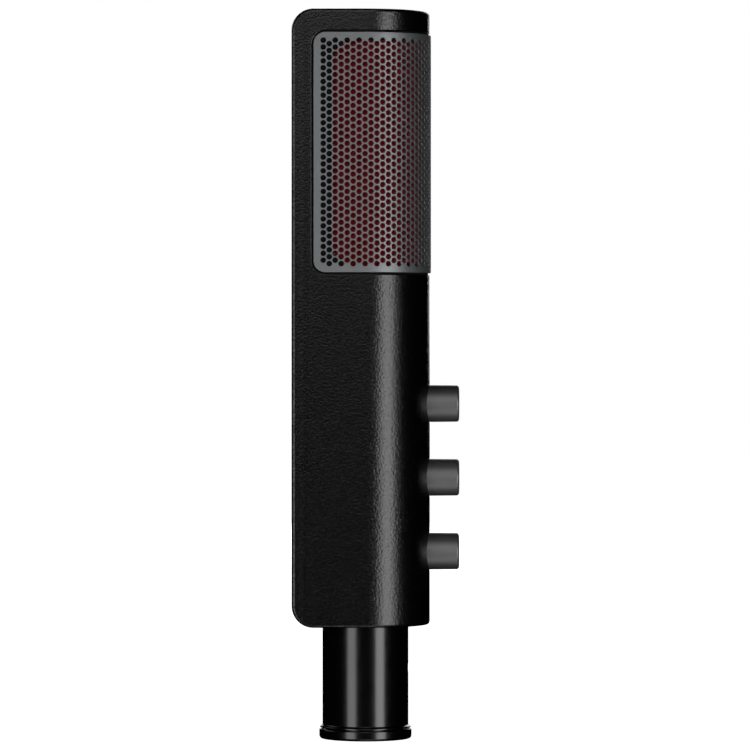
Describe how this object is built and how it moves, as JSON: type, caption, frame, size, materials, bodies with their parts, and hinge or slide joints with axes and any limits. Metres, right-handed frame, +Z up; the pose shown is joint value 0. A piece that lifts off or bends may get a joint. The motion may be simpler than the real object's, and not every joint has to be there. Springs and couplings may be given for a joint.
{
  "type": "ribbon microphone",
  "caption": "Side-address ribbon microphone: D-section shell, wrapped perforated grille, front rotary knobs and a round stem holding its output connector.",
  "frame": {"origin": "on the stem's axis, at the underside of the base ring", "axes": "+Z up along the stem, +X out of the front towards the knobs, +Y completes the right-handed frame"},
  "size_m": [0.0494, 0.0388, 0.2152],
  "materials": {
    "shell_paint": "satin powder coat",
    "grille_paint": "satin grey",
    "liner_red": "matt cloth over foam",
    "frame_black": "moulded",
    "knob_coat": "satin",
    "stem_black": "smooth satin black",
    "screw_black": "black oxide",
    "bare_steel": "plated",
    "sheet_aluminium": "brushed",
    "yoke_iron": "machined",
    "magnet_nickel": "nickel plate",
    "ribbon_foil": "bright foil",
    "gold_contact": "plated",
    "brass_part": "turned",
    "insulator_board": "laminate",
    "felt": "felt",
    "black_rubber": "moulded",
    "winding": "varnished wire",
    "circuit_board": "solder mask",
    "chip_black": "moulded",
    "lead_jacket": "flexible jacket",
    "flat_lead": "flat cable"
  },
  "bodies": {
    "housing": {"main_shell": "shell_paint", "rear_cover": "shell_paint", "rear_cover_screws": "screw_black", "grille": "grille_paint", "windscreen_liner": "liner_red", "grille_frame": "frame_black", "chassis_frame": "sheet_aluminium", "chassis_screws": "bare_steel", "motor_yoke": "yoke_iron", "magnet_left": "magnet_nickel", "magnet_right": "magnet_nickel", "pole_piece_left": "yoke_iron", "pole_piece_right": "yoke_iron", "ribbon": "ribbon_foil", "upper_clamp": "brass_part", "lower_clamp": "brass_part", "clamp_screws": "bare_steel", "clamp_insulators": "insulator_board", "damping_pad": "felt", "rubber_mounts": "black_rubber", "mount_screws": "bare_steel", "transformer_bracket": "sheet_aluminium", "transformer_can": "bare_steel", "transformer_core": "winding", "transformer_screws": "bare_steel", "control_bracket": "sheet_aluminium", "bracket_screws": "bare_steel", "control_board": "circuit_board", "control_lead": "flat_lead", "gain_pot": "bare_steel", "phones_pot": "bare_steel", "mix_pot": "bare_steel", "pot_washers": "bare_steel", "pot_nuts": "bare_steel", "main_board": "circuit_board", "board_components": "chip_black", "board_standoffs": "brass_part", "board_screws": "bare_steel", "io_board": "circuit_board", "io_standoffs": "brass_part", "usb_socket": "bare_steel", "headphone_jack": "chip_black", "jack_ring": "bare_steel", "stem_tube": "stem_black", "stem_nut": "bare_steel", "base_ring": "stem_black", "connector_insert": "chip_black", "contact_pins": "gold_contact", "set_screw": "screw_black", "signal_lead": "lead_jacket", "ribbon_leads": "lead_jacket"},
    "gain_control": {"gain_shaft": "sheet_aluminium", "gain_knob": "knob_coat"},
    "phones_control": {"phones_shaft": "sheet_aluminium", "phones_knob": "knob_coat"},
    "mix_control": {"mix_shaft": "sheet_aluminium", "mix_knob": "knob_coat"}
  },
  "joints": [
    {"name": "gain_turn", "type": "hinge", "parent": "housing", "child": "gain_control", "pos_m": [0.0225, 0, 0.0993], "axis": [1, 0, 0], "range_deg": [-150, 150]},
    {"name": "phones_turn", "type": "hinge", "parent": "housing", "child": "phones_control", "pos_m": [0.0225, 0, 0.0774], "axis": [1, 0, 0], "range_deg": [-150, 150]},
    {"name": "mix_turn", "type": "hinge", "parent": "housing", "child": "mix_control", "pos_m": [0.0225, 0, 0.0555], "axis": [1, 0, 0], "range_deg": [-150, 150]}
  ]
}
